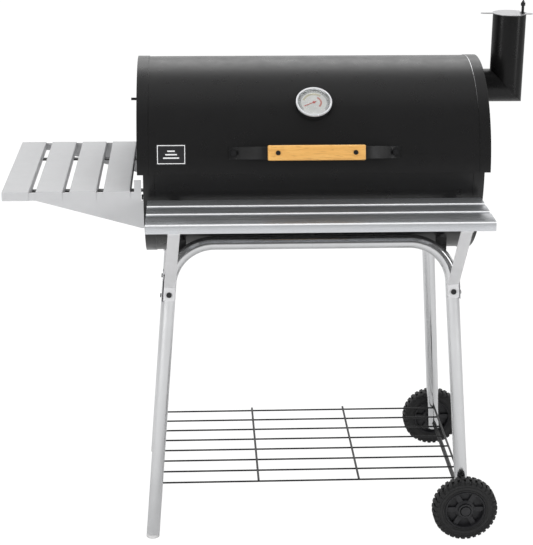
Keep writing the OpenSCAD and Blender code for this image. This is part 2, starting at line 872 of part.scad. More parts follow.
// Flat straps over the leg joints
module leg_straps() {
    color("#c2c4c6") for (end = [-1, 1], side = [-1, 1]) frame_plane(end, side) difference() {
        on_leg(strap_top_drop + strap_len) translate([tube_r, -strap_w / 2, 0])
            cube([strap_t, strap_w, strap_len]);
        frame_holes(end);
    }
}

module frame_screws() {
    color("#111112") for (end = [-1, 1], side = [-1, 1]) frame_plane(end, side) {
        for (d = strap_screw_drop) on_leg(d) translate([tube_r + strap_t, 0, 0])
            rotate([0, 90, 0]) bolt(2, 9, 4.5, 2.5);
        reach = end < 0 ? bracket_t + hole_fit : 0;
        on_leg(leg_joint_drop) rotate([-end * 90, 0, 0]) {
            translate([0, 0, tube_r + reach]) bolt(leg_screw_r, 2 * tube_r + reach + 6, m6_head_r, 3);
            translate([0, 0, -tube_r - m6_nut_h]) hex_nut(m6_head_r, m6_nut_h, leg_screw_r - sliver);
        }
    }
    color("#111112") for (s = [-1, 1]) {
        for (a = [bracket_angle, 180 - bracket_angle])
            radial(s * bracket_x, a, body_r + bracket_t) bolt(m6_r, 14, m6_head_r, m6_head_h);
        radial(s * shelf_rail_x, shelf_tab_angle, body_r + bracket_t)
            bolt(m6_r, 14, m6_head_r, m6_head_h);
    }
}

// Plates welded behind the tube bends, folded along the barrel and bolted to it
module barrel_brackets() {
    a = bracket_angle;
    seat = bracket_mid_r * [-cos(a), sin(a)];
    along = [sin(a), cos(a)];
    drop = 30;
    low_y = frame_y + tan(leg_lean) * drop - tube_r / cos(leg_lean) - bracket_t / 2 - sliver;
    color("#232325") difference() {
        for (s = [-1, 1], end = [-1, 1]) mirror([0, end > 0 ? 1 : 0, 0])
            translate([s * bracket_x, 0, barrel_z])
                folded_strip([seat + bracket_tab * along, seat - bracket_tab * along,
                              [-low_y, frame_z - barrel_z - drop]], bracket_t, bracket_w);
        barrel_rod(body_r, -body_half, body_half);
        body_bolt_holes(m6_r + hole_fit);
    }
}

// ---- wheels --------------------------------------------------------------

wheel_y = leg_y(axle_z) + tube_r + wheel_gap + tyre_w / 2;
rim_w = 28;
rim_wall = 4;
spoke_w = 12;
spoke_depth = 16;
hub_len = tyre_w - 1;
cap_nut_r = 11;
cap_nut_h = 7;
hub_recess = 6;

// A wheel's own frame: z out of the wheel's outer face, origin at its middle
module at_wheel(end) {
    translate([axle_x, end * wheel_y, axle_z]) rotate([end > 0 ? -90 : 90, 0, 0]) children();
}

module wheel_rim(end) {
    color("#2d2d2f") at_wheel(end) difference() {
        union() {
            translate([0, 0, -hub_len / 2]) cylinder(r = hub_r, h = hub_len);
            difference() {
                translate([0, 0, -rim_w / 2]) cylinder(r = rim_r, h = rim_w, $fn = big_fn);
                translate([0, 0, -rim_w]) cylinder(r = rim_r - rim_wall, h = 2 * rim_w, $fn = big_fn);
            }
            for (i = [0 : spokes - 1]) rotate([0, 0, i * 360 / spokes])
                translate([hub_r - 2, -spoke_w / 2, -spoke_depth / 2])
                    cube([rim_r - rim_wall - hub_r + 3, spoke_w, spoke_depth]);
        }
        translate([0, 0, -hub_len]) cylinder(r = axle_r + axle_fit, h = 2 * hub_len);
        translate([0, 0, hub_len / 2 - hub_recess]) cylinder(r = cap_nut_r + 2, h = hub_recess + 1);
    }
}

module wheel_tyre(end) {
    edge = 6;
    half = tyre_w / 2;
    color("#1c1c1d") at_wheel(end) rotate_extrude($fn = big_fn) polygon([
        [rim_r, -half + edge / 2], [wheel_r - edge, -half], [wheel_r, -half + edge],
        [wheel_r, half - edge], [wheel_r - edge, half], [rim_r, half - edge / 2]]);
}

module wheel_rim_front() wheel_rim(-1);
module wheel_rim_rear() wheel_rim(1);
module wheel_tyre_front() wheel_tyre(-1);
module wheel_tyre_rear() wheel_tyre(1);

axle_play = 0.4;
module axle() {
    reach = wheel_y + hub_len / 2 - hub_recess + axle_play;
    color("#1b1b1c") translate([axle_x, 0, axle_z]) rotate([90, 0, 0])
        cylinder(r = axle_r, h = 2 * reach + 4, center = true);
}

// Cap nuts outside the wheels and collars inside them
module axle_caps() {
    color("#262628") for (end = [-1, 1]) at_wheel(end) {
        difference() {
            translate([0, 0, hub_len / 2 - hub_recess + axle_play]) cylinder(r = cap_nut_r, h = cap_nut_h);
            cylinder(r = axle_r, h = hub_len / 2 - hub_recess + axle_play + 2);
        }
        difference() {
            translate([0, 0, -tyre_w / 2 - wheel_gap + 1]) cylinder(r = axle_r + 3, h = wheel_gap - 1);
            translate([0, 0, -tyre_w]) cylinder(r = axle_r, h = 2 * tyre_w);
        }
    }
}

// ---- wire shelf ----------------------------------------------------------

wire_half_x = leg_x(wire_z);
cross_wire_z = wire_z + wire_r + cross_wire_r - 0.4;
wire_half_y = leg_y(wire_z) - tube_r - 3;
wire_end_y = leg_y(wire_z) - tube_r + 5;

module wire_shelf() {
    color("#1b1b1c") {
        for (i = [0 : wires - 1])
            translate([-wire_half_x, -wire_half_y + i * 2 * wire_half_y / (wires - 1),
                       wire_z - wire_r - cross_wire_r + 0.4])
                rotate([0, 90, 0]) cylinder(r = wire_r, h = 2 * wire_half_x, $fn = 24);
        for (s = [-1, 1]) {
            translate([s * wire_half_x, 0, wire_z]) rotate([90, 0, 0])
                cylinder(r = cross_wire_r, h = 2 * wire_end_y, center = true, $fn = 24);
            translate([s * cross_wire_x, 0, wire_z]) rotate([90, 0, 0])
                cylinder(r = cross_wire_r, h = 2 * wire_half_y + 12, center = true, $fn = 24);
        }
    }
}

// ---- front shelf ---------------------------------------------------------

lip = 9;
slat_t = 1.2;
screw_r = 2;
screw_inset = 4.5;
slat_starts = [-shelf_front,
               -shelf_front + front_slat_w + shelf_gap,
               -shelf_front + front_slat_w + back_slat_w + 2 * shelf_gap];
slat_widths = [front_slat_w, back_slat_w, back_slat_w];

// Outline of a folded slat from u = 0 to w, top face at v = 0
module slat_outline(w, fold) {
    difference() {
        translate([0, -fold]) square([w, fold]);
        translate([slat_t, -fold + slat_t]) square([w - 2 * slat_t, fold - 2 * slat_t]);
        translate([lip, -fold - 1]) square([w - 2 * lip, fold]);
    }
}

module front_shelf_slats() {
    color("#a9abae") difference() {
        for (i = [0 : 2]) translate([-shelf_half, slat_starts[i], shelf_z]) rotate([90, 0, 90])
            linear_extrude(2 * shelf_half) slat_outline(slat_widths[i], shelf_fold);
        shelf_screw_places() translate([0, 0, -5]) cylinder(r = screw_r + hole_fit, h = 10);
    }
}

// One screw in the rear lip of each slat at each rail, at the underside of the lip
module shelf_screw_places() {
    for (s = [-1, 1], i = [0 : 2])
        translate([s * shelf_rail_x, slat_starts[i] + slat_widths[i] - screw_inset,
                   shelf_z - shelf_fold]) children();
}

table_bay = table_slat_w + table_gap;
module table_screw_places() {
    for (s = [-1, 1], i = [0 : 3])
        translate([-table_left + i * table_bay + screw_inset, s * table_rail_y,
                   table_z - table_fold]) children();
}

// Strut from the leg joint up and forward, then a rail back to the barrel
module shelf_bracket() {
    t = bracket_t;
    joint_z = frame_z - leg_joint_drop * cos(leg_lean);
    joint_y = -leg_y(joint_z) - tube_r / cos(leg_lean) - t / 2 - sliver;
    below_bolt = 13;
    above_bolt = 18;
    joggle = 5;
    top_y = -shelf_front + slat_t + 10;
    inward = atan((leg_joint_x - shelf_rail_x) / (shelf_rail_z - joint_z));
    a = shelf_tab_angle;
    tab = [-(body_r + t / 2) * cos(a), barrel_z + (body_r + t / 2) * sin(a)];
    along = [sin(a), cos(a)];
    color("#c9cacc") difference() {
        union() {
            translate([leg_joint_x, 0, joint_z]) rotate([0, -inward, 0]) translate([0, 0, -joint_z])
                folded_strip([[joint_y - below_bolt * tan(leg_lean), joint_z - below_bolt],
                              [joint_y + above_bolt * tan(leg_lean), joint_z + above_bolt],
                              [joint_y - joggle, joint_z + above_bolt + joggle],
                              [top_y, shelf_rail_z]], t, bracket_w);
            translate([shelf_rail_x, 0, 0])
                folded_strip([[top_y - 8, shelf_rail_z],
                              tab + along * (shelf_rail_z - tab[1]) / along[1],
                              tab - 10 * along], t, bracket_w);
        }
        barrel_rod(body_r, -body_half, body_half);
        body_bolt_holes(m6_r + hole_fit);
        frame_plane(-1) on_leg(leg_joint_drop) rotate([90, 0, 0])
            cylinder(r = leg_screw_r + hole_fit, h = 40);
        shelf_screw_places() translate([0, 0, -9]) cylinder(r = screw_r + hole_fit, h = 12);
    }
}

module front_shelf_bracket_right() shelf_bracket();
module front_shelf_bracket_left() mirror([1, 0, 0]) shelf_bracket();

// ---- side table ----------------------------------------------------------

module side_table_slats() {
    color("#d0d1d3") difference() {
        for (i = [0 : 3]) translate([-table_left + i * table_bay, 0, table_z]) {
            rotate([90, 0, 0]) translate([0, 0, -table_half])
                linear_extrude(2 * table_half) slat_outline(table_slat_w, table_fold);
            for (s = [-1, 1]) translate([slat_t / 2, s > 0 ? table_half - slat_t : -table_half,
                                         -table_fold])
                cube([table_slat_w - slat_t, slat_t, table_fold]);
        }
        for (s = [0, 1]) mirror([0, s, 0])
            translate([gusset_x0 - hole_fit, gusset_y - hole_fit, table_z - table_fold - 1])
                cube([far, gusset_t + hole_fit, table_fold + 1 - gusset_drop + hole_fit]);
        table_screw_places() translate([0, 0, -5]) cylinder(r = screw_r + hole_fit, h = 10);
    }
}

gusset_t = 1.5;
gusset_drop = 3;
gusset_x0 = -table_left + table_slat_w - 20;
gusset_y = table_half - slat_t - gusset_t;
ear_w = 15;
ear_h = 24;

// Triangles behind the slat ends, with an ear above the table and a flange on the barrel end
module side_table_gussets() {
    toe = 34;
    joggle = 3;
    flange_w = 60;
    flange_h = gusset_h - 22;
    flange_x = -body_half - gusset_t;
    x1 = flange_x - joggle;
    color("#d0d1d3") difference() {
        for (s = [-1, 1]) mirror([0, s > 0 ? 1 : 0, 0]) {
            translate([0, -gusset_y, 0]) rotate([90, 0, 0]) linear_extrude(gusset_t) polygon([
                [gusset_x0, table_z - gusset_drop], [gusset_x0, table_z - table_fold],
                [gusset_x0 + toe, table_z - table_fold], [x1, table_z - gusset_h],
                [x1, table_z + ear_h], [x1 - ear_w, table_z + ear_h],
                [x1 - ear_w, table_z - gusset_drop]]);
            translate([flange_x, -gusset_y - gusset_t, table_z - gusset_h])
                cube([gusset_t, flange_w, flange_h]);
            translate([x1 - sliver, -gusset_y - gusset_t, table_z - gusset_h])
                cube([joggle + gusset_t + sliver, gusset_t, flange_h]);
        }
        for (s = [-1, 1], z = gusset_bolt_z) translate([-body_half - 5, s * gusset_bolt_y, z])
            rotate([0, 90, 0]) cylinder(r = m6_r + hole_fit, h = 10);
    }
}

module side_table_rails() {
    t = bracket_t;
    x0 = -table_left + 6;
    x1 = -body_half - t / 2;
    color("#1d1d1f") difference() {
        for (s = [-1, 1]) translate([0, s * table_rail_y, 0]) rotate([90, 0, 0])
            translate([0, 0, -bracket_w / 3]) linear_extrude(bracket_w * 2 / 3)
                polygon(ribbon([[x0, table_rail_z], [x1, table_rail_z],
                                [x1, table_bolt_z - 10]], t));
        for (s = [-1, 1]) translate([-body_half - 8, s * table_rail_y, table_bolt_z])
            rotate([0, 90, 0]) cylinder(r = m6_r + hole_fit, h = 16);
        table_screw_places() translate([0, 0, -9]) cylinder(r = screw_r + hole_fit, h = 12);
    }
}

// Screws under the slats, and bolts into the barrel's left end
module shelf_screws() {
    color("#1b1b1c") {
        shelf_screw_places() slat_screw();
        table_screw_places() slat_screw();
        for (s = [-1, 1]) {
            translate([-body_half - bracket_t, s * table_rail_y, table_bolt_z])
                rotate([0, -90, 0]) bolt(m6_r, 12, m6_head_r, m6_head_h);
            for (z = gusset_bolt_z) translate([-body_half - gusset_t, s * gusset_bolt_y, z])
                rotate([0, -90, 0]) bolt(m6_r, 10, m6_head_r, m6_head_h);
        }
    }
}

module slat_screw() {
    translate([0, 0, -bracket_t - 2]) cylinder(r = 4, h = 2);
    translate([0, 0, -bracket_t - 1]) cylinder(r = screw_r, h = bracket_t + slat_t + 3);
    translate([0, 0, slat_t]) hex_nut(3.4, 1.8, screw_r - sliver);
}

// ---- placing -------------------------------------------------------------

x_min = -table_left;
x_max = chimney_x + (ear_reach - lug_r) * cos(damper_turn) + lug_r;
y_min = -shelf_front;
y_max = wheel_y + hub_len / 2 - hub_recess + axle_play + cap_nut_h;

module place() {
    translate([-(x_min + x_max) / 2, -(y_min + y_max) / 2, 0]) children();
}

place() body_shell();
place() body_end_cap_left();
place() body_end_cap_right();
place() grate_ledges();
place() charcoal_grate();
place() cooking_grate_left();
place() cooking_grate_right();
place() hinge_leaves_body();
place() hinge_pins();
place() lid_shell();
place() lid_end_cap_left();
place() lid_end_cap_right();
place() hinge_leaves_lid();
place() chimney_stub();
place() chimney_pipe();
place() chimney_flange();
place() damper_lug();
place() damper_pivot_bolt();
place() damper_wing_nut();
place() damper_plate();
place() vent_pivot();
place() vent_shutter();
place() handle_bracket_left();
place() handle_bracket_right();
place() handle_grip();
place() handle_bolts();
place() thermometer_housing();
place() thermometer_bezel();
place() thermometer_dial();
place() thermometer_needle();
place() thermometer_glass();
place() thermometer_stem();
place() emblem_plate();
place() front_frame_tube_left();
place() front_frame_tube_right();
place() rear_frame_tube_left();
place() rear_frame_tube_right();
place() frame_sleeves();
place() front_leg_left();
place() front_leg_right();
place() rear_leg_left();
place() rear_leg_right();
place() leg_straps();
place() frame_screws();
place() barrel_brackets();
place() foot_plugs();
place() axle();
place() axle_caps();
place() wheel_rim_front();
place() wheel_tyre_front();
place() wheel_rim_rear();
place() wheel_tyre_rear();
place() wire_shelf();
place() front_shelf_slats();
place() front_shelf_bracket_left();
place() front_shelf_bracket_right();
place() side_table_slats();
place() side_table_gussets();
place() side_table_rails();
place() shelf_screws();
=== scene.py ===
import bpy, bmesh, json, math
from mathutils import Matrix, Vector


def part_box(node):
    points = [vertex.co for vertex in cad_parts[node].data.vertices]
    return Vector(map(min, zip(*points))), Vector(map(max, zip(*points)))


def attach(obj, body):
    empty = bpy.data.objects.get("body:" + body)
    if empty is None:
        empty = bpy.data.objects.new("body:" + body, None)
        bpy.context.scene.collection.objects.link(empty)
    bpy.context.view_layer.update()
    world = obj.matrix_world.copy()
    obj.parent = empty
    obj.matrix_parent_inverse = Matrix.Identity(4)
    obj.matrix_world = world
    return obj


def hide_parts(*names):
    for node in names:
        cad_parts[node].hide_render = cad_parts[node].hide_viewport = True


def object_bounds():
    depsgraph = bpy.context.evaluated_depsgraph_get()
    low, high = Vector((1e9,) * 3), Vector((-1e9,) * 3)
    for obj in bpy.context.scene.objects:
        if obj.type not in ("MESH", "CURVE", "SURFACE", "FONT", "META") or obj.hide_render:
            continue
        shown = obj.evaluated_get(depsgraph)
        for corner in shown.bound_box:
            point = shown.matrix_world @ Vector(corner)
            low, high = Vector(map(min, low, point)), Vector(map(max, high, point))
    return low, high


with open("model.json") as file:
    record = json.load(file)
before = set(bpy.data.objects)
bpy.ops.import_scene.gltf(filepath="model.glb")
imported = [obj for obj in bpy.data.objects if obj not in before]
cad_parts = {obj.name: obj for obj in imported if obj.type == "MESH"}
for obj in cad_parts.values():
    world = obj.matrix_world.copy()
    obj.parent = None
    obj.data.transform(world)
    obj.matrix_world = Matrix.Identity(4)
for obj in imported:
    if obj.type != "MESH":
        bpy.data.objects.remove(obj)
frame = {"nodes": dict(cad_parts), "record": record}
NODES, RECORD = frame["nodes"], frame["record"]
CAD_LO, CAD_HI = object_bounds()
MM = 0.001
scene = bpy.context.scene
scene.view_settings.view_transform = "Standard"

# the drawing frame of the part: x = 0 at mid barrel, y = 0 on the barrel axis, z = 0 on the ground
TABLE_LEFT, SHELF_FRONT = 671.5, 412.4
SHIFT = Vector((CAD_LO.x + TABLE_LEFT * MM, CAD_LO.y + SHELF_FRONT * MM, 0))
BARREL_Z, LID_R, LID_HALF = 859.0, 220.5, 381.0


def at(x, y, z):
    """A point of the drawing frame, in millimetres, in the row frame."""
    return Vector((x * MM, y * MM, z * MM)) + SHIFT


def on_barrel(x, angle, r):
    """A point at a height angle round the barrel, 0 at the front and 90 at the top."""
    a = math.radians(angle)
    return at(x, -r * math.cos(a), BARREL_Z + r * math.sin(a))


# ---- camera ----------------------------------------------------------------
cam_data = bpy.data.cameras.new("camera")
cam_data.sensor_width = 36.0
cam_data.lens = 98.24
camera = bpy.data.objects.new("camera", cam_data)
scene.collection.objects.link(camera)
scene.camera = camera
yaw, pitch, roll = (math.radians(a) for a in (2.893, 19.554, 0.327))
fwd = Vector((math.sin(yaw) * math.cos(pitch), math.cos(yaw) * math.cos(pitch), -math.sin(pitch)))
right = Vector((math.cos(yaw), -math.sin(yaw), 0))
up = right.cross(fwd)
right, up = (math.cos(roll) * right + math.sin(roll) * up,
             -math.sin(roll) * right + math.cos(roll) * up)
camera.matrix_world = Matrix.Translation(at(-257.9, -3292.4, 1740.0)) @ Matrix(
    (right, up, -fwd)).transposed().to_4x4()
cam_data.clip_start, cam_data.clip_end = 0.05, 50


# ---- materials -------------------------------------------------------------
class Graph:
    """A node tree with short calls."""

    def __init__(self, name):
        self.mat = bpy.data.materials.new(name)
        self.mat.use_nodes = True
        self.tree = self.mat.node_tree
        self.bsdf = self.tree.nodes["Principled BSDF"]
        self.out = self.tree.nodes["Material Output"]
        self.coord = self.tree.nodes.new("ShaderNodeTexCoord").outputs["Object"]

    def node(self, kind, **inputs):
        n = self.tree.nodes.new("ShaderNode" + kind)
        for k, v in inputs.items():
            k = k.replace("_", " ")
            if hasattr(v, "node"):
                self.tree.links.new(v, n.inputs[k])
            else:
                n.inputs[k].default_value = v
        return n

    def link(self, a, b):
        self.tree.links.new(a, b)

    def scaled(self, scale, turn=(0, 0, 0)):
        m = self.node("Mapping")
        self.link(self.coord, m.inputs["Vector"])
        m.inputs["Rotation"].default_value = turn
        m.inputs["Scale"].default_value = scale if hasattr(scale, "__len__") else (scale,) * 3
        return m.outputs["Vector"]

    def noise(self, scale, detail=3.0, rough=0.5, turn=(0, 0, 0)):
        n = self.tree.nodes.new("ShaderNodeTexNoise")
        self.link(self.scaled(scale, turn), n.inputs["Vector"])
        n.inputs["Scale"].default_value = 1.0
        n.inputs["Detail"].default_value = detail
        n.inputs["Roughness"].default_value = rough
        return n.outputs["Fac"]

    def ramp(self, fac, stops):
        r = self.tree.nodes.new("ShaderNodeValToRGB")
        self.link(fac, r.inputs["Fac"])
        e = r.color_ramp.elements
        while len(e) < len(stops):
            e.new(0.5)
        for el, (p, c) in zip(e, stops):
            el.position = p
            el.color = (c, c, c, 1) if not hasattr(c, "__len__") else (*c, 1)
        return r.outputs["Color"]

    def math(self, op, a, b=0.0, clamp=False):
        m = self.tree.nodes.new("ShaderNodeMath")
        m.operation, m.use_clamp = op, clamp
        for i, v in enumerate((a, b)):
            if hasattr(v, "node"):
                self.link(v, m.inputs[i])
            else:
                m.inputs[i].default_value = v
        return m.outputs[0]

    def bump(self, *layers):
        """layers: (height socket, strength, distance in metres)"""
        last = None
        for height, strength, distance in layers:
            b = self.tree.nodes.new("ShaderNodeBump")
            b.inputs["Strength"].default_value = strength
            b.inputs["Distance"].default_value = distance
            self.link(height, b.inputs["Height"])
            if last:
                self.link(last, b.inputs["Normal"])
            last = b.outputs["Normal"]
        self.link(last, self.bsdf.inputs["Normal"])

    def set(self, **values):
        for k, v in values.items():
            s = self.bsdf.inputs[k.replace("_", " ")]
            if hasattr(v, "node"):
                self.link(v, s)
            else:
                s.default_value = (*v, 1) if hasattr(v, "__len__") and len(v) == 3 else v
        return self.mat


def shades(c, f):
    return tuple(min(1, x * f) for x in c)


def powder_coat(name, color, rough=0.42, grain=900, spec=0.5, mottled=0.12, strength=0.12):
    """Baked enamel or powder coat: a fine orange peel, slightly uneven gloss."""
    g = Graph(name)
    cloud = g.noise(9, 4)
    g.set(Base_Color=g.ramp(cloud, [(0.3, shades(color, 1 - mottled)), (0.7, shades(color, 1 + mottled))]),
          Roughness=g.ramp(g.noise(34, 4), [(0.3, rough - 0.05), (0.7, rough + 0.05)]),
          Specular_IOR_Level=spec)
    g.bump((g.noise(grain, 2), strength, 0.0002), (g.noise(14, 2), 0.05, 0.002))
    return g.mat


def drawn_metal(name, color, rough=0.22, along="x", turn=(0, 0, 0), streak=0.1, metal=1.0, fine=1500):
    """Bright sheet or tube with fine lines along one axis."""
    g = Graph(name)
    lines = {"x": (6, fine, fine), "y": (fine, 6, fine), "z": (fine, fine, 6)}[along]
    s = g.noise(lines, 3, 0.6, turn)
    cloud = g.noise(7, 3)
    g.set(Base_Color=g.ramp(cloud, [(0.25, shades(color, 0.94)), (0.75, shades(color, 1.04))]),
          Metallic=metal,
          Roughness=g.ramp(s, [(0.3, rough - streak / 2), (0.7, rough + streak)]))
    g.bump((s, 0.02, 0.0002))
    return g.mat


def bright_tube(name, color, rough):
    """Galvanised tube: smooth, faintly clouded."""
    g = Graph(name)
    cloud = g.noise(14, 4)
    g.set(Base_Color=g.ramp(cloud, [(0.25, shades(color, 0.95)), (0.75, shades(color, 1.03))]), Metallic=1.0,
          Roughness=g.ramp(g.noise(45, 4), [(0.3, rough - 0.03), (0.7, rough + 0.04)]))
    return g.mat


def moulded(name, color, rough=0.55, grain=1400):
    g = Graph(name)
    g.set(Base_Color=g.ramp(g.noise(60, 4), [(0.3, shades(color, 0.85)), (0.7, shades(color, 1.15))]),
          Roughness=g.ramp(g.noise(200, 3), [(0.3, rough - 0.06), (0.7, rough + 0.06)]))
    g.bump((g.noise(grain, 3), 0.25, 0.00025))
    return g.mat


def wood(name):
    """Varnished beech: long grain lines, short dark flecks."""
    g = Graph(name)
    warp = g.noise((7, 40, 40), 3)
    m = g.node("Mapping")
    g.link(g.coord, m.inputs["Vector"])
    m.inputs["Scale"].default_value = (3, 150, 150)
    add = g.tree.nodes.new("ShaderNodeVectorMath")
    add.operation = "ADD"
    g.link(m.outputs["Vector"], add.inputs[0])
    g.link(g.math("MULTIPLY", warp, 3.0), add.inputs[1])
    n = g.tree.nodes.new("ShaderNodeTexNoise")
    g.link(add.outputs[0], n.inputs["Vector"])
    n.inputs["Scale"].default_value = 1.0
    n.inputs["Detail"].default_value = 6
    n.inputs["Roughness"].default_value = 0.6
    grain = n.outputs["Fac"]
    base = g.ramp(grain, [(0.25, (0.64, 0.32, 0.080)), (0.5, (0.75, 0.41, 0.115)), (0.8, (0.81, 0.49, 0.165))])
    fleck = g.ramp(g.noise((55, 1100, 1100), 2), [(0.3, 0.0), (0.42, 1.0)])
    mix = g.tree.nodes.new("ShaderNodeMix")
    mix.data_type = "RGBA"
    g.link(fleck, mix.inputs["Factor"])
    mix.inputs["A"].default_value = (0.50, 0.25, 0.07, 1)
    g.link(base, mix.inputs["B"])
    g.set(Base_Color=mix.outputs["Result"], Roughness=g.ramp(grain, [(0.3, 0.42), (0.7, 0.34)]),
          Coat_Weight=0.35, Coat_Roughness=0.18)
    g.bump((grain, 0.25, 0.0003), (fleck, 0.12, 0.0001))
    return g.mat


def plain(name, color, rough=0.5, metal=0.0, grain=600, amount=0.08, **more):
    g = Graph(name)
    g.set(Base_Color=g.ramp(g.noise(30, 3), [(0.3, shades(color, 1 - amount)),
                                             (0.7, shades(color, 1 + amount))]),
          Metallic=metal, Roughness=g.ramp(g.noise(120, 3), [(0.3, rough - 0.04), (0.7, rough + 0.04)]), **more)
    g.bump((g.noise(grain, 2), 0.08, 0.0002))
    return g.mat


def glass(name):
    g = Graph(name)
    g.set(Base_Color=(0.98, 0.99, 1.0), Roughness=0.02, Transmission_Weight=1.0, IOR=1.05)
    g.mat.node_tree.nodes["Principled BSDF"].inputs["Specular IOR Level"].default_value = 0.5
    return g.mat


MATS = {
    "black_enamel": powder_coat("black_enamel", (0.0105, 0.0104, 0.0107), 0.31,
                                spec=0.40, mottled=0.04, strength=0.02),
    "black_paint": powder_coat("black_paint", (0.008, 0.008, 0.0085), 0.42),
    "bare_steel": drawn_metal("bare_steel", (0.42, 0.42, 0.43), 0.38, "x", fine=700),
    "grate_wire": powder_coat("grate_wire", (0.09, 0.09, 0.095), 0.35, 500),
    "zinc": drawn_metal("zinc", (0.62, 0.63, 0.66), 0.32, "x"),
    "black_bolt": plain("black_bolt", (0.012, 0.012, 0.013), 0.36, grain=2500),
    "handle_wood": wood("handle_wood"),
    "gauge_housing": powder_coat("gauge_housing", (0.012, 0.012, 0.013), 0.4),
    "gauge_bezel": plain("gauge_bezel", (0.80, 0.81, 0.83), 0.24, 0.35, amount=0.02),
    "gauge_dial": plain("gauge_dial", (0.60, 0.60, 0.57), 0.6),
    "gauge_needle": plain("gauge_needle", (0.55, 0.13, 0.11), 0.4),
    "gauge_glass": glass("gauge_glass"),
    "emblem": plain("emblem", (0.022, 0.022, 0.024), 0.38),
    "silver_tube": bright_tube("silver_tube", (0.70, 0.705, 0.715), 0.16),
    "silver_bracket": plain("silver_bracket", (0.60, 0.60, 0.61), 0.42, amount=0.03),
    "foot_plastic": moulded("foot_plastic", (0.62, 0.62, 0.62), 0.5),
    "wheel_plastic": moulded("wheel_plastic", (0.016, 0.016, 0.018), 0.5),
    "tyre": moulded("tyre", (0.013, 0.013, 0.0135), 0.62, 900),
    "shelf_steel": drawn_metal("shelf_steel", (0.66, 0.675, 0.70), 0.27, "x",
                               streak=0.04, metal=0.86, fine=1400),
    "silver_paint": plain("silver_paint", (0.48, 0.483, 0.492), 0.40, amount=0.02),
}
# the chimney's enamel: a darker, less glossy copy of the black enamel, painted shade
FLUE_SHADED_BLACK = powder_coat("flue_shaded_black", (0.0050, 0.0049, 0.0051), 0.30, spec=0.30, mottled=0.05, strength=0.04)
SILVER_PRINT = plain("silver_print", (0.78, 0.78, 0.79), 0.35)

# ---- the CAD nodes: finish, smooth shading and rounded edges --------------------
EDGE = {  # width of the edge round, millimetres
    "handle_bracket_left": 0.5, "handle_bracket_right": 0.5, "emblem_plate": 0.2,
    "thermometer_bezel": 1.4, "thermometer_housing": 0.8, "chimney_pipe": 0.35, "chimney_stub": 0.35,
    "damper_plate": 0.4, "lid_end_cap_left": 0.5, "lid_end_cap_right": 0.5, "body_end_cap_left": 0.5,
    "body_end_cap_right": 0.5, "lid_shell": 0.3, "body_shell": 0.3,
    "side_table_gussets": 0.3, "side_table_rails": 0.5,
    "front_shelf_bracket_left": 0.5, "front_shelf_bracket_right": 0.5, "barrel_brackets": 0.5,
    "wheel_rim_front": 1.0, "wheel_rim_rear": 1.0, "axle_caps": 1.2, "foot_plugs": 1.0,
    "leg_straps": 0.4, "frame_screws": 0.7, "shelf_screws": 0.6, "handle_bolts": 0.8,
    "damper_wing_nut": 0.6, "damper_pivot_bolt": 0.5, "vent_shutter": 0.3, "damper_lug": 0.4,
    "front_frame_tube_left": 0.8, "front_frame_tube_right": 0.8,
}


def shading_group(limit):
    """Smooth faces, with a sharp edge wherever two faces meet at more than the limit."""
    g = bpy.data.node_groups.new("shade_by_angle", "GeometryNodeTree")
    g.interface.new_socket("Geometry", in_out="INPUT", socket_type="NodeSocketGeometry")
    g.interface.new_socket("Geometry", in_out="OUTPUT", socket_type="NodeSocketGeometry")
    first, last = g.nodes.new("NodeGroupInput"), g.nodes.new("NodeGroupOutput")
    angle = g.nodes.new("GeometryNodeInputMeshEdgeAngle")
    over = g.nodes.new("ShaderNodeMath")
    over.operation = "GREATER_THAN"
    over.inputs[1].default_value = math.radians(limit)
    faces, edges = g.nodes.new("GeometryNodeSetShadeSmooth"), g.nodes.new("GeometryNodeSetShadeSmooth")
    faces.domain, edges.domain = "FACE", "EDGE"
    edges.inputs["Shade Smooth"].default_value = False
    g.links.new(first.outputs[0], faces.inputs["Geometry"])
    g.links.new(faces.outputs[0], edges.inputs["Geometry"])
    g.links.new(angle.outputs["Unsigned Angle"], over.inputs[0])
    g.links.new(over.outputs[0], edges.inputs["Selection"])
    g.links.new(edges.outputs[0], last.inputs[0])
    return g


SHADE = shading_group(40)


def finish_node(name, o):
    if "custom_normal" in o.data.attributes:
        o.data.attributes.remove(o.data.attributes["custom_normal"])
    o.data.materials.clear()
    slot = next(s["material_slot"] for s in RECORD["subparts"] if s["node"] == name)
    # the chimney pieces take the darker enamel copy, painted shade, in place of their slot
    o.data.materials.append(FLUE_SHADED_BLACK if name.startswith("chimney") else MATS[slot])
    for p in o.data.polygons:
        p.material_index = 0
        p.use_smooth = True
    weld = o.modifiers.new("weld", "WELD")
    weld.merge_threshold = 2e-6
    if name in EDGE:
        b = o.modifiers.new("edge", "BEVEL")
        b.width = EDGE[name] * MM
        b.segments = 3
        b.limit_method = "ANGLE"
        b.angle_limit = math.radians(42)
        b.use_clamp_overlap = True
    o.modifiers.new("shade", "NODES").node_group = SHADE
    if name in EDGE:
        w = o.modifiers.new("flat", "WEIGHTED_NORMAL")
        w.mode = "FACE_AREA_WITH_ANGLE"
        w.keep_sharp = True


for n, o in NODES.items():
    finish_node(n, o)


# ---- mesh helpers ------------------------------------------------------------
def piece(name, bm, body, mat, smooth=35):
    bmesh.ops.recalc_face_normals(bm, faces=bm.faces)
    me = bpy.data.meshes.new(name)
    bm.to_mesh(me)
    bm.free()
    for p in me.polygons:
        p.use_smooth = True
    me.set_sharp_from_angle(angle=math.radians(smooth))
    o = bpy.data.objects.new(name, me)
    scene.collection.objects.link(o)
    me.materials.append(mat)
    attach(o, body)
    return o


def revolve(bm, profile, place, n=96):
    """Closed solid of a closed profile of (radius, height) turned about +Z."""
    rings = []
    for i in range(n):
        a = 2 * math.pi * i / n
        rings.append([bm.verts.new(place @ Vector((r * math.cos(a), r * math.sin(a), z))) for r, z in profile])
    k = len(profile)
    for i in range(n):
        a, b = rings[i], rings[(i + 1) % n]
        for j in range(k):
            bm.faces.new((a[j], a[(j + 1) % k], b[(j + 1) % k], b[j]))


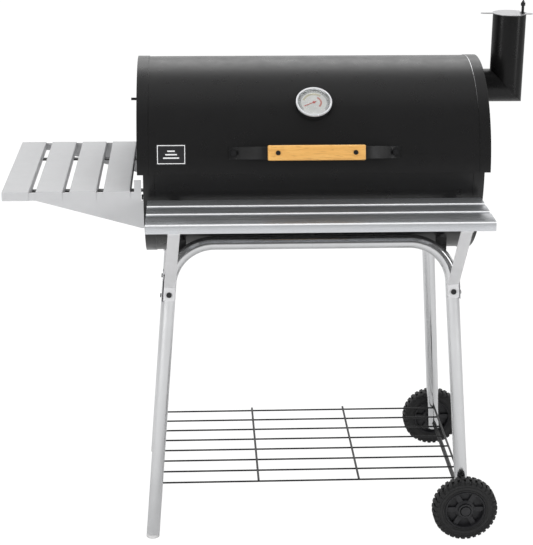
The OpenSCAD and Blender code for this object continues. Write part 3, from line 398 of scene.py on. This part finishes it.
def axes(origin, z, x):
    """A placing matrix from an origin, a +Z and a rough +X."""
    z = z.normalized()
    y = z.cross(x).normalized()
    x = y.cross(z)
    return Matrix.Translation(origin) @ Matrix((x, y, z)).transposed().to_4x4()


def solid(bm, rings, place=Matrix()):
    """Closed solid through rings of points that match one to one."""
    vs = [[bm.verts.new(place @ Vector(p)) for p in ring] for ring in rings]
    k = len(vs[0])
    for a, b in zip(vs, vs[1:]):
        for j in range(k):
            bm.faces.new((a[j], a[(j + 1) % k], b[(j + 1) % k], b[j]))
    bm.faces.new(vs[0][::-1])
    bm.faces.new(vs[-1])


# ---- tyres: carcass, shoulder and centre lugs -----------------------------------
def tyre(name, node, end, body):
    lo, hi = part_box(node)
    c, half, r = (lo + hi) / 2, (hi.y - lo.y) / 2, (hi.z - lo.z) / 2
    place = axes(c, Vector((0, end, 0)), Vector((1, 0, 0)))
    seat, base = 47 * MM, r - 3.6 * MM
    bm = bmesh.new()
    side = [(seat, 0.72), (seat + 2 * MM, 0.80), (seat + 9 * MM, 0.88), (seat + 15 * MM, 0.86),
            (base - 4 * MM, 0.90), (base - 1.2 * MM, 0.82), (base, 0.66)]
    profile = [(a, -b * half) for a, b in side] + [(a, b * half) for a, b in reversed(side)]
    revolve(bm, profile, place, 120)
    for ring_r in (seat + 5 * MM, seat + 13 * MM):
        for s in (-1, 1):
            z = s * 0.875 * half
            t = 0.7 * MM
            revolve(bm, [(ring_r + t * math.cos(a), z + t * math.sin(a)) for a in
                         [2 * math.pi * k / 8 for k in range(8)]], place, 96)
    lugs = 34
    for i in range(lugs):
        for s in (-1, 1):
            a0 = 2 * math.pi * (i + (0.25 if s > 0 else -0.25)) / lugs
            turn = place @ Matrix.Rotation(a0, 4, "Z")
            w = 2 * math.pi * r / lugs * 0.29
            # cross-section in (radius, height); the lug wraps from the middle down the shoulder
            outer = [(r, -0.10), (r, 0.62), (r - 1.8 * MM, 0.86), (r - 7.5 * MM, 0.99),
                     (r - 10.5 * MM, 0.93)]
            inner = [(base - 6 * MM, 0.80), (base - 1.5 * MM, -0.10)]
            section = [(q, s * h * half) for q, h in outer + inner]
            rings = []
            for t, k in ((-w, 0.82), (-w * 0.8, 1.0), (w * 0.8, 1.0), (w, 0.82)):
                ring = []
                for j, (q, h) in enumerate(section):
                    deep = 1.0 if j < len(outer) else 0.0
                    lift = (1 - k) * 4 * MM * deep
                    skew = (h / half) * 1.6 * MM * s
                    # follow the circle so that the lug's top stays on it
                    x = math.sqrt(max(0.0, (q - lift) ** 2 - (t + skew) ** 2))
                    ring.append((x, t + skew, h))
                rings.append(ring)
            solid(bm, rings, turn)
    o = piece(name, bm, body, MATS["tyre"], 32)
    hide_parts(node)
    return o


tyre("tyre_front", "wheel_tyre_front", -1, "wheel_front")
tyre("tyre_rear", "wheel_tyre_rear", 1, "wheel_rear")


# ---- rims: stepped disc ring outside the windows --------------------------------
def rim_detail(name, node, end, body):
    lo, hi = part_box(node)
    c = (lo + hi) / 2
    place = axes(c, Vector((0, end, 0)), Vector((1, 0, 0)))
    bm = bmesh.new()
    for face in (-1, 1):
        z = face * 14 * MM
        prof = [(46.6, -3.0), (46.6, 0.8), (45.6, 1.6), (44.6, 1.2), (43.4, -1.0), (43.2, -3.0)]
        revolve(bm, [(a * MM, z + face * b * MM) for a, b in prof], place, 96)
        z = face * 8 * MM
        prof = [(16.5, -2.0), (23.0, -2.0), (22.4, 0.4), (20.0, 1.6), (17.0, 3.4), (16.5, 3.4)]
        revolve(bm, [(a * MM, z + face * b * MM) for a, b in prof], place, 72)
    web = [(16.5, -2.0), (44.5, -2.0), (44.5, 1.0), (30.0, 2.0), (16.5, 1.0)]
    revolve(bm, [(a * MM, b * MM) for a, b in web], place, 72)
    return piece(name, bm, body, MATS["wheel_plastic"], 30)


rim_detail("rim_lips_front", "wheel_rim_front", -1, "wheel_front")
rim_detail("rim_lips_rear", "wheel_rim_rear", 1, "wheel_rear")


# ---- folded sheet slats with rounded bends ----------------------------------------
def bend_points(cx, cz, r, a0, a1, n=5):
    return [(cx + r * math.cos(math.radians(a0 + (a1 - a0) * i / n)),
             cz + r * math.sin(math.radians(a0 + (a1 - a0) * i / n))) for i in range(n + 1)]


def channel(w, fold, lip, t=1.2, r=2.6, rb=2.0):
    """Cross-section of a slat folded down at both sides with lips turned in, u = 0 to w, top at 0."""
    out = [(lip, -fold)] + bend_points(rb, -fold + rb, rb, 270, 180) + bend_points(r, -r, r, 180, 90)
    inn = ([(lip, -fold + t)] + bend_points(rb, -fold + rb, rb - t, 270, 180)
           + bend_points(r, -r, r - t, 180, 90))
    out += [(w - u, v) for u, v in reversed(out)]
    inn += [(w - u, v) for u, v in reversed(inn)]
    return out + inn[::-1]


def extrude_between(bm, section, to_a, to_b):
    solid(bm, [[to_a(u, v) for u, v in section], [to_b(u, v) for u, v in section]])


SLAT_FOLD, SLAT_LIP = 20, 9
SHELF_Z, SHELF_HALF, SHELF_GAP = 820, 359.6, 13
bm = bmesh.new()
start = -SHELF_FRONT
for width in (62, 44, 44):
    extrude_between(bm, channel(width, SLAT_FOLD, SLAT_LIP),
                    lambda u, v: at(-SHELF_HALF, start + u, SHELF_Z + v),
                    lambda u, v: at(SHELF_HALF, start + u, SHELF_Z + v))
    start += width + SHELF_GAP
front_slats = piece("front_slats", bm, "trolley", MATS["shelf_steel"], 40)
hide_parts("front_shelf_slats")
# the front bends get a lighter, less metallic material: a painted highlight along the bends
front_slats.data.materials.append(plain("painted_highlight_bend", (0.86, 0.87, 0.88), 0.3, 0.15, amount=0.02))
for p in front_slats.data.polygons:
    if p.normal.y < -0.2 and p.normal.z > 0.15:
        p.material_index = 1

TABLE_Z, TABLE_HALF, TABLE_SLAT, TABLE_PITCH = 834, 211.4, 58, 72.3
bm = bmesh.new()
for i in range(4):
    x0 = -TABLE_LEFT + i * TABLE_PITCH
    extrude_between(bm, channel(TABLE_SLAT, SLAT_FOLD, SLAT_LIP),
                    lambda u, v: at(x0 + u, -TABLE_HALF, TABLE_Z + v),
                    lambda u, v: at(x0 + u, TABLE_HALF, TABLE_Z + v))
    # the slat's ends are folded down too
    for s in (-1, 1):
        flap = [(208.0, 0.0)] + bend_points(TABLE_HALF, -2.6, 2.6, 90, 0) + [(214.0, -20.0)]
        inner = [(208.0, -1.2)] + bend_points(TABLE_HALF, -2.6, 1.4, 90, 0) + [(212.8, -20.0)]
        ring = flap + inner[::-1]
        extrude_between(bm, ring, lambda u, v: at(x0 + 0.7, s * u, TABLE_Z - 0.02 + v),
                        lambda u, v: at(x0 + 57.3, s * u, TABLE_Z - 0.02 + v))
table_slats = piece("table_slats", bm, "trolley", MATS["silver_paint"], 40)
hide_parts("side_table_slats")


# ---- the wooden grip: a block with rounded edges, and a bead on the edge of the lid's caps, grey metal on the right cap as a painted highlight ----
def block(bm, size, radius, place):
    """A box with rounded edges, centred on the placing."""
    made = bmesh.ops.create_cube(bm, size=1.0, matrix=place @ Matrix.Diagonal((*size, 1)))
    edges = list({e for v in made["verts"] for e in v.link_edges})
    bmesh.ops.bevel(bm, geom=edges, offset=radius, segments=5, profile=0.5, affect="EDGES")


GRIP_ANGLE, GRIP_IN, GRIP_LEN, GRIP_H, GRIP_T = 15, LID_R + 42, 207, 32.5, 17
out = Vector((0, -math.cos(math.radians(GRIP_ANGLE)), math.sin(math.radians(GRIP_ANGLE))))
bm = bmesh.new()
block(bm, (GRIP_LEN * MM, GRIP_H * MM, GRIP_T * MM), 3.2 * MM,
      axes(on_barrel(0, GRIP_ANGLE, GRIP_IN + GRIP_T / 2), out, Vector((1, 0, 0))))
grip = piece("grip", bm, "lid", MATS["handle_wood"], 50)
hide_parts("handle_grip")

# the right cap's bead is bare grey metal from 40 degrees up, a painted highlight; the left bead stays black
# enamel
CAP_EDGE_HIGHLIGHT = plain("cap_edge", (0.55, 0.55, 0.56), 0.25, 1.0)
for side, s, first, mat in (("left", -1, 12, MATS["black_enamel"]), ("right", 1, 40, CAP_EDGE_HIGHLIGHT)):
    bm = bmesh.new()
    rings = []
    for i in range(65):
        a = first + i * 2
        w = min(1.0, 0.15 + i * 0.05)
        rings.append([on_barrel(s * (LID_HALF - 24.4) + w * math.cos(t), a, LID_R + 0.5 + w * 0.9 * math.sin(t))
                      for t in [2 * math.pi * k / 8 for k in range(8)]])
    solid(bm, rings)
    piece("cap_edge_" + side, bm, "lid", mat, 60)


# ---- emblem plate: a plain silver rule and three bars --------------------------------
def band_strip(bm, x0, x1, a0, a1, r0, r1, step=1.0):
    """A closed strip lying round the barrel."""
    n = max(1, int(abs(a1 - a0) / step))
    rings = []
    for i in range(n + 1):
        a = a0 + (a1 - a0) * i / n
        rings.append([on_barrel(x0, a, r0), on_barrel(x1, a, r0), on_barrel(x1, a, r1), on_barrel(x0, a, r1)])
    solid(bm, rings)


EX0, EX1, EA0, EA1 = -339.5, -275.5, 8.7, 20.3
bm = bmesh.new()
er0, er1, ew, ea = LID_R + 0.7, LID_R + 1.05, 1.6, 0.42
m, ma = 2.2, 0.6
band_strip(bm, EX0 + m, EX0 + m + ew, EA0 + ma, EA1 - ma, er0, er1)
band_strip(bm, EX1 - m - ew, EX1 - m, EA0 + ma, EA1 - ma, er0, er1)
band_strip(bm, EX0 + m, EX1 - m, EA0 + ma, EA0 + ma + ea, er0, er1 + 0.01)
band_strip(bm, EX0 + m, EX1 - m, EA1 - ma - ea, EA1 - ma, er0, er1 + 0.01)
for k in range(3):
    a = 12.2 + k * 1.9
    w = 17 - 4.5 * k
    band_strip(bm, -307.5 - w, -307.5 + w, a, a + 0.75, er0, er1)
piece("emblem_rule", bm, "lid", SILVER_PRINT)


# ---- thermometer scale: arc bands and ticks on the dial ----------------------------
SEAT_ANGLE, SEAT_OUT, DIAL_TILT = 43, 7, 9
normal_angle = math.radians(SEAT_ANGLE + DIAL_TILT)
dial_normal = Vector((0, -math.cos(normal_angle), math.sin(normal_angle)))
dial = axes(on_barrel(0, SEAT_ANGLE, LID_R + SEAT_OUT), dial_normal, Vector((1, 0, 0)))


def arc_band(bm, place, r0, r1, a0, a1, z0, z1, step=3.0):
    n = max(1, int(abs(a1 - a0) / step))
    rings = []
    for i in range(n + 1):
        a = math.radians(a0 + (a1 - a0) * i / n)
        c, s = math.cos(a), math.sin(a)
        rings.append([(r0 * c * MM, r0 * s * MM, z0 * MM), (r1 * c * MM, r1 * s * MM, z0 * MM),
                      (r1 * c * MM, r1 * s * MM, z1 * MM), (r0 * c * MM, r0 * s * MM, z1 * MM)])
    solid(bm, rings, place)


DIAL_INK = plain("dial_ink", (0.12, 0.12, 0.12), 0.5)
DIAL_RING = plain("dial_ring", (0.40, 0.40, 0.39), 0.5)
DIAL_WARM = plain("dial_warm", (0.50, 0.47, 0.34), 0.5)
DIAL_HOT = plain("dial_hot", (0.55, 0.24, 0.20), 0.5)
bm = bmesh.new()
arc_band(bm, dial, 27.6, 34.0, -40, 220, 0.97, 1.06)
piece("dial_ring", bm, "lid", DIAL_RING)
bm = bmesh.new()
arc_band(bm, dial, 20.5, 25.0, 50, 165, 0.98, 1.10)
piece("dial_arc", bm, "lid", DIAL_WARM)
bm = bmesh.new()
arc_band(bm, dial, 13.5, 17.5, -45, 60, 0.98, 1.10)
piece("dial_hot_arc", bm, "lid", DIAL_HOT)
bm = bmesh.new()
for k in range(25):
    a = 210 - k * 10
    long = k % 4 == 0
    inner_r, wide = (28.0, 0.9) if long else (30.0, 0.5)
    arc_band(bm, dial, inner_r, 32.5, a - wide, a + wide, 0.98, 1.12, 5)
arc_band(bm, dial, 32.6, 33.2, -32, 212, 0.98, 1.12)
piece("dial_ticks", bm, "lid", DIAL_INK)


# ---- world, floor and lamps ---------------------------------------------------
world = bpy.data.worlds.new("world")
scene.world = world
world.use_nodes = True
wt = world.node_tree
wn = wt.nodes
bg = wn["Background"]
light_path = wn.new("ShaderNodeLightPath")
tc = wn.new("ShaderNodeTexCoord")
sep = wn.new("ShaderNodeSeparateXYZ")
wt.links.new(tc.outputs["Generated"], sep.inputs[0])


def wmath(op, a, b=0.0, clamp=False):
    m = wn.new("ShaderNodeMath")
    m.operation, m.use_clamp = op, clamp
    for i, v in enumerate((a, b)):
        if hasattr(v, "node"):
            wt.links.new(v, m.inputs[i])
        else:
            m.inputs[i].default_value = v
    return m.outputs[0]


def ramp_node(fac, stops):
    r = wn.new("ShaderNodeValToRGB")
    wt.links.new(fac, r.inputs["Fac"])
    el = r.color_ramp.elements
    while len(el) < len(stops):
        el.new(0.5)
    for x, (p, v) in zip(el, stops):
        x.position, x.color = p, (v, v, v, 1)
    return r.outputs["Color"]


def blend_by(fac, a, b):
    m = wn.new("ShaderNodeMix")
    m.data_type = "RGBA"
    wt.links.new(fac, m.inputs["Factor"])
    for socket, v in (("A", a), ("B", b)):
        if hasattr(v, "node"):
            wt.links.new(v, m.inputs[socket])
        else:
            m.inputs[socket].default_value = (v, v, v, 1)
    return m.outputs["Result"]


# what glossy surfaces mirror: a white sweep behind, a softer one overhead, a dim room in front
half = wmath("ADD", wmath("MULTIPLY", sep.outputs["Y"], 0.5), 0.5)
high = wmath("ADD", wmath("MULTIPLY", sep.outputs["Z"], 0.5), 0.5)
back = ramp_node(half, [(0.0, 0.16), (0.60, 0.13), (0.82, 1.0), (1.0, 1.0)])
overhead = wmath("MULTIPLY", ramp_node(high, [(0.70, 0.0), (0.92, 0.5)]),
                 ramp_node(half, [(0.22, 0.0), (0.50, 1.0)]))
room = wmath("MAXIMUM", back, overhead)
mirrored = blend_by(light_path.outputs["Is Glossy Ray"], 0.50, room)
wt.links.new(blend_by(light_path.outputs["Is Camera Ray"], mirrored, 1.0), bg.inputs["Color"])
bg.inputs["Strength"].default_value = 1.0

bm = bmesh.new()
bmesh.ops.create_grid(bm, x_segments=1, y_segments=1, size=14)
me = bpy.data.meshes.new("floor")
bm.to_mesh(me)
bm.free()
floor = bpy.data.objects.new("floor", me)
floor.location.z = -0.0005
scene.collection.objects.link(floor)
fm = bpy.data.materials.new("floor")
fm.use_nodes = True
ft = fm.node_tree
fb = ft.nodes["Principled BSDF"]
fb.inputs["Base Color"].default_value = (0.8, 0.8, 0.8, 1)
fb.inputs["Roughness"].default_value = 0.9
fb.inputs["Specular IOR Level"].default_value = 0.1
lp = ft.nodes.new("ShaderNodeLightPath")
em = ft.nodes.new("ShaderNodeEmission")
em.inputs["Color"].default_value = (1, 1, 1, 1)
mx = ft.nodes.new("ShaderNodeMixShader")
share = ft.nodes.new("ShaderNodeMath")
share.operation = "MULTIPLY"
ft.links.new(lp.outputs["Is Camera Ray"], share.inputs[0])
share.inputs[1].default_value = 0.86
ft.links.new(share.outputs[0], mx.inputs["Fac"])
ft.links.new(fb.outputs[0], mx.inputs[1])
em.inputs["Strength"].default_value = 1.12
ft.links.new(em.outputs[0], mx.inputs[2])
ft.links.new(mx.outputs[0], ft.nodes["Material Output"].inputs["Surface"])
me.materials.append(fm)


def lamp(name, loc, target, size, power, size_y=None, glossy=True):
    l = bpy.data.lights.new(name, "AREA")
    l.shape = "RECTANGLE"
    l.size, l.size_y = size, size_y or size
    l.energy = power
    o = bpy.data.objects.new(name, l)
    scene.collection.objects.link(o)
    o.location = loc
    o.rotation_mode = "QUATERNION"
    o.rotation_quaternion = (Vector(target) - Vector(loc)).to_track_quat("-Z", "Y")
    o.visible_camera = False
    o.visible_glossy = glossy
    return o


lamp("top", (0.0, 0.4, 3.2), (0, 0, 0.8), 3.0, 30, 1.3, glossy=False)
lamp("back_top", (0.0, 2.2, 2.7), (0, 0, 0.9), 3.2, 17, 1.4)
lamp("front_left", (-2.4, -3.2, 2.0), (0, 0, 0.7), 1.6, 76, glossy=False)
lamp("front_right", (2.4, -2.8, 1.6), (0, 0, 0.6), 1.2, 34, glossy=False)
lamp("side_strip", (3.0, -1.4, 1.3), (0, 0, 0.9), 0.5, 9, 1.6)
lamp("left_strip", (-2.8, -1.8, 1.0), (0, 0, 0.6), 0.5, 7, 1.6)
